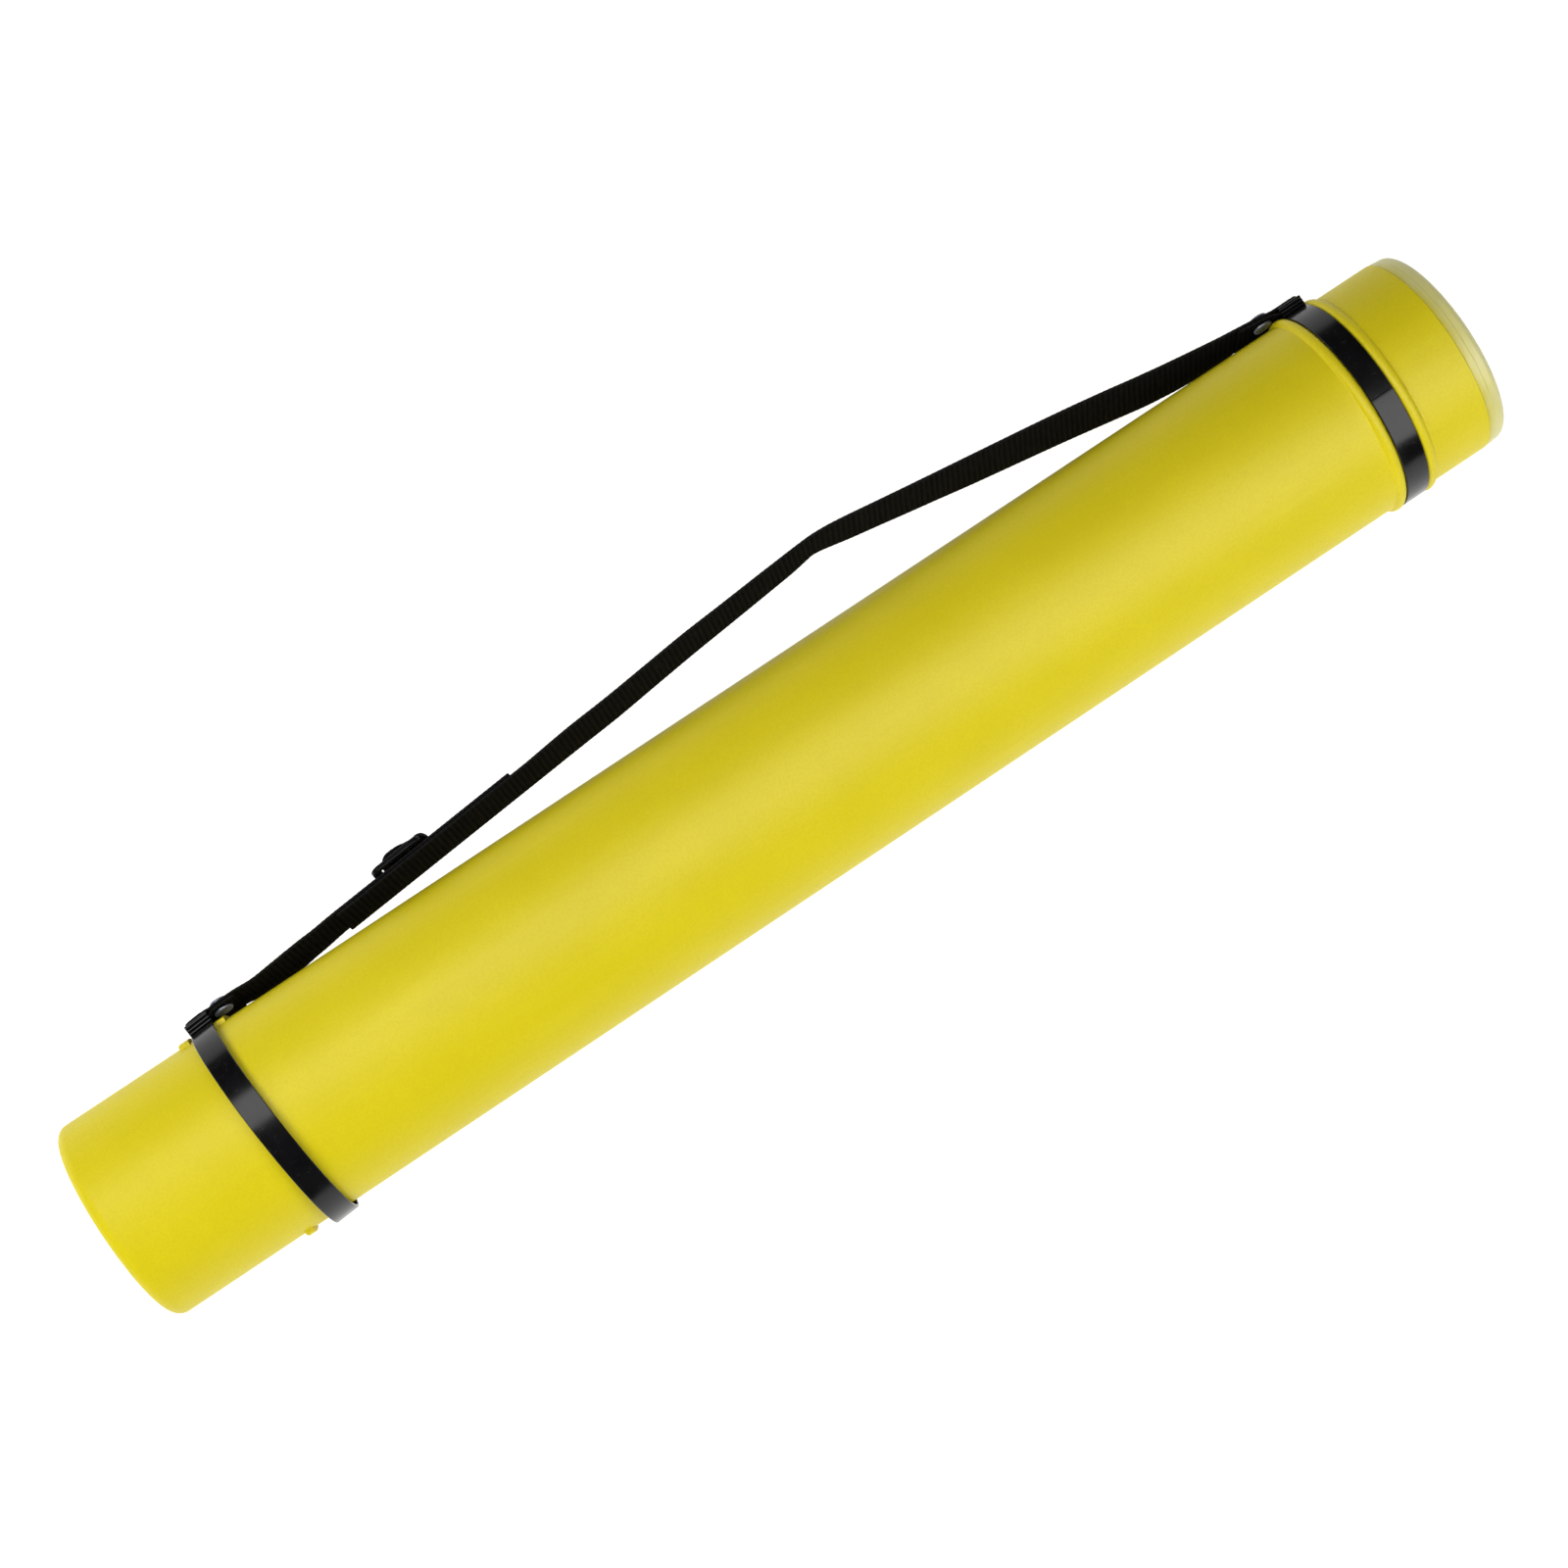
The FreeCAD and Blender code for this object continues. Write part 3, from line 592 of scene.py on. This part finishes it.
def webbing_piece(name, stations, body, start_mm=0.0, is_cut=True):
    """A woven strip with cross ribs, a rounded section and scalloped selvages.

    start_mm shifts its ribs along it. With is_cut its ends are real ones, heat-sealed.
    """
    path = smooth_path(stations)
    points = []
    marks = []
    last = len(path) - 1
    for index, (distance, centre, width) in enumerate(path):
        before = path[max(index - 1, 0)][1]
        after = path[min(index + 1, last)][1]
        tangent = (after - before).normalized()
        across = (width - tangent * width.dot(tangent)).normalized()
        outward = across.cross(tangent)
        rib = math.cos(2 * math.pi * (distance + start_mm) / RIB_PITCH_MM)
        from_end = min(distance, path[-1][0] - distance)
        pinch = 1.0 - END_PINCH * max(0.0, 1.0 - from_end / END_PINCH_MM)
        from_cut = from_end if is_cut else WEB_WIDTH_MM
        half_width = WEB_WIDTH_MM / 2 - EDGE_SCALLOP_MM * (1 - rib) / 2
        half_depth = WEB_THICKNESS_MM / 2 - RIB_HEIGHT_MM * (1 - rib) / 2
        for side in (1, -1):
            for column in range(COLUMNS + 1):
                share = column / COLUMNS * 2 - 1
                depth = half_depth * pinch * (1.0 - SELVAGE_PINCH * abs(share) ** SELVAGE_POWER)
                spot = centre + across * (half_width * share * side) + outward * (depth * side)
                points.append(spot * MM)
                marks.append(((share * side + 1) * WEB_WIDTH_MM / 2, distance + start_mm, from_cut))
    ring = 2 * (COLUMNS + 1)
    faces = []
    for index in range(last):
        for spot in range(ring):
            beside = (spot + 1) % ring
            low = index * ring
            faces.append((low + spot, low + beside, low + ring + beside, low + ring + spot))
    for low, backwards in ((0, True), (last * ring, False)):
        for column in range(COLUMNS):
            quad = (low + column, low + column + 1, low + ring - 2 - column, low + ring - 1 - column)
            faces.append(quad[::-1] if backwards else quad)
    mesh = bpy.data.meshes.new(name)
    mesh.from_pydata(points, [], faces)
    mesh.validate()
    stored = mesh.attributes.new("webbing_mm", "FLOAT_VECTOR", "POINT")
    stored.data.foreach_set("vector", [number for mark in marks for number in mark])
    for polygon in mesh.polygons:
        polygon.use_smooth = True
    mesh.materials.append(WEBBING)
    mesh.update()
    piece = bpy.data.objects.new(name, mesh)
    scene.collection.objects.link(piece)
    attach(piece, body)
    return piece


lower_woven = webbing_piece("lower_webbing_woven", lower_webbing_stations(), "strap")
upper_woven = webbing_piece("upper_webbing_woven", upper_webbing_stations(), "strap", 1.1)
outer_hump = webbing_piece("bight_outer_woven", hump_stations(OUTER_HUMP), "adjuster", 0.5, False)
webbing_piece("bight_inner_woven", hump_stations(INNER_HUMP), "adjuster", 1.7, False)
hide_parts("lower_webbing")
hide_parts("upper_webbing")
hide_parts("webbing_bight")


# Floor, sky and lights


FLOOR_HALF_SIZE = 30.0
FLOOR_GLOW = 0.93


def add_floor():
    """White floor under the object. Most of its light is its own, so it hardly shows shadows."""
    low = cad_bounds[0][2]
    size = FLOOR_HALF_SIZE
    corners = [(-size, -size, low), (size, -size, low), (size, size, low), (-size, size, low)]
    mesh = bpy.data.meshes.new("floor")
    mesh.from_pydata(corners, [], [(0, 1, 2, 3)])
    floor = bpy.data.objects.new("floor", mesh)
    scene.collection.objects.link(floor)
    sh = Shader("floor_white")
    paper = sh.noise(sh.place(), 60.0, 2.0)
    base = sh.blend(paper, rgba(0.28, 0.28, 0.28), rgba(0.30, 0.30, 0.30))
    mesh.materials.append(sh.finish(Base_Color=base, Roughness=0.9, Specular_IOR_Level=0.0,
                                    Emission_Color=WHITE, Emission_Strength=FLOOR_GLOW))


SKY_LIGHT = 0.02
SKY_SEEN = 1.05


def add_sky():
    """A sky that is white to the camera and nearly dark to the object."""
    world = bpy.data.worlds.new("studio")
    world.use_nodes = True
    tree = world.node_tree
    tree.nodes.clear()
    output = tree.nodes.new("ShaderNodeOutputWorld")
    mix = tree.nodes.new("ShaderNodeMixShader")
    path = tree.nodes.new("ShaderNodeLightPath")
    for index, strength in enumerate((SKY_LIGHT, SKY_SEEN)):
        background = tree.nodes.new("ShaderNodeBackground")
        background.inputs[0].default_value = WHITE
        background.inputs[1].default_value = strength
        tree.links.new(background.outputs[0], mix.inputs[1 + index])
    tree.links.new(path.outputs["Is Camera Ray"], mix.inputs[0])
    tree.links.new(mix.outputs[0], output.inputs[0])
    scene.world = world


def add_softbox(name, centre, long_side, size, radiance, seen_by):
    """Rectangular light facing down, its long side along long_side. seen_by is "gloss" or "body" colour."""
    data = bpy.data.lights.new(name, "AREA")
    data.shape = "RECTANGLE"
    data.size, data.size_y = size
    data.energy = radiance * math.pi * size[0] * size[1]
    light = bpy.data.objects.new(name, data)
    short_side = Vector((0, 0, 1)).cross(long_side).normalized()
    turn = Matrix((long_side, short_side, long_side.cross(short_side))).transposed().to_4x4()
    light.matrix_world = Matrix.Translation(centre) @ turn
    light.visible_camera = False
    light.visible_glossy = seen_by == "gloss"
    light.visible_diffuse = seen_by == "body"
    scene.collection.objects.link(light)


add_floor()
add_sky()
flat_right = Vector((picture_right.x, picture_right.y, 0.0)).normalized()
flat_up = Vector((-flat_right.y, flat_right.x, 0.0))
LIGHTS_MIDDLE = Vector((0.323, 0.0, 0.0))

# The strip gives the bands, clips and slider their highlights. Over the base end it hangs higher.
STRIP_MIDDLE = Vector((0.309, 0.038, 0.406))
STRIP_SIDE = Vector((0.6445, -0.417, -0.21)).normalized()
STRIP_SIZE = (1.5, 0.28)
STRIP_RADIANCE = 4.3
add_softbox("strip", STRIP_MIDDLE, STRIP_SIDE, STRIP_SIZE, STRIP_RADIANCE, "gloss")

# The panels give the tube its shading. Each has its place along the picture and up it, its length and
# width, and its strength.
PANELS = {
    "overhead": (0.0, -0.06, 2.6, 0.5, 1.85),
    "side": (0.0, -1.6, 2.6, 0.4, 8.0),
    "left_end": (-1.2, 0.0, 0.8, 0.6, 5.6),
    "right_end": (1.2, 0.0, 0.8, 0.6, 3.0),
}
PANEL_HEIGHT = 0.8
for panel_name, (along, upward, length, width, strength) in PANELS.items():
    centre = LIGHTS_MIDDLE + flat_right * along + flat_up * upward + Vector((0, 0, PANEL_HEIGHT))
    add_softbox(panel_name, centre, flat_right, (length, width), strength, "body")

scene.view_settings.view_transform = "Standard"
scene.view_settings.look = "None"
